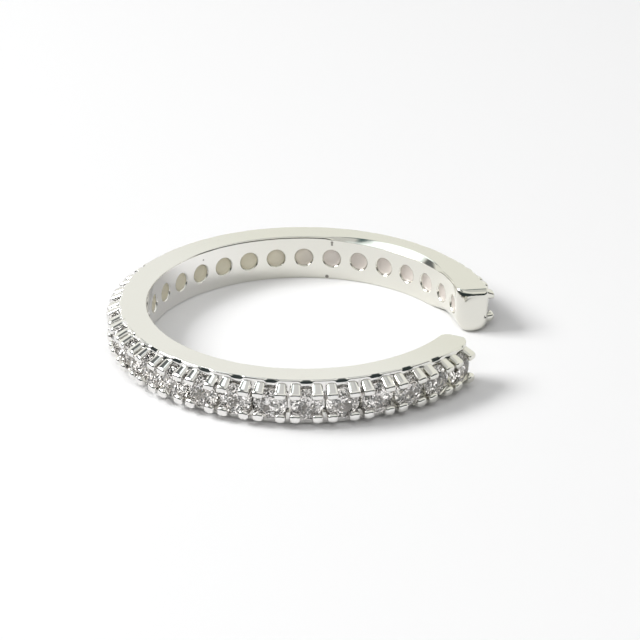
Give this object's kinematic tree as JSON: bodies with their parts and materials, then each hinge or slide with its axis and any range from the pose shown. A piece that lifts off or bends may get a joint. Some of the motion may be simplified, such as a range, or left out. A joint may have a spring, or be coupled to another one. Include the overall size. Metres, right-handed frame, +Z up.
{
  "type": "ear cuff",
  "caption": "Open ring-shaped ear cuff of polished silver-coloured metal with a single row of small round clear stones in prongs round its outer side.",
  "frame": {"origin": "on the surface that the cuff lies on, under the middle of its box", "axes": "+Z up through the bore, +X towards the opening between the two ends"},
  "size_m": [0.0122, 0.0126, 0.0015],
  "materials": {
    "silver": "bright polished rhodium-coloured plating",
    "zirconia": "clear, cut and polished"
  },
  "bodies": {
    "root": {"band": "silver", "stone_01": "zirconia", "stone_02": "zirconia", "stone_03": "zirconia", "stone_04": "zirconia", "stone_05": "zirconia", "stone_06": "zirconia", "stone_07": "zirconia", "stone_08": "zirconia", "stone_09": "zirconia", "stone_10": "zirconia", "stone_11": "zirconia", "stone_12": "zirconia", "stone_13": "zirconia", "stone_14": "zirconia", "stone_15": "zirconia", "stone_16": "zirconia", "stone_17": "zirconia", "stone_18": "zirconia", "stone_19": "zirconia", "stone_20": "zirconia", "stone_21": "zirconia", "stone_22": "zirconia", "stone_23": "zirconia", "stone_24": "zirconia", "stone_25": "zirconia", "stone_26": "zirconia", "stone_27": "zirconia", "stone_28": "zirconia", "stone_29": "zirconia", "stone_30": "zirconia"}
  },
  "joints": []
}
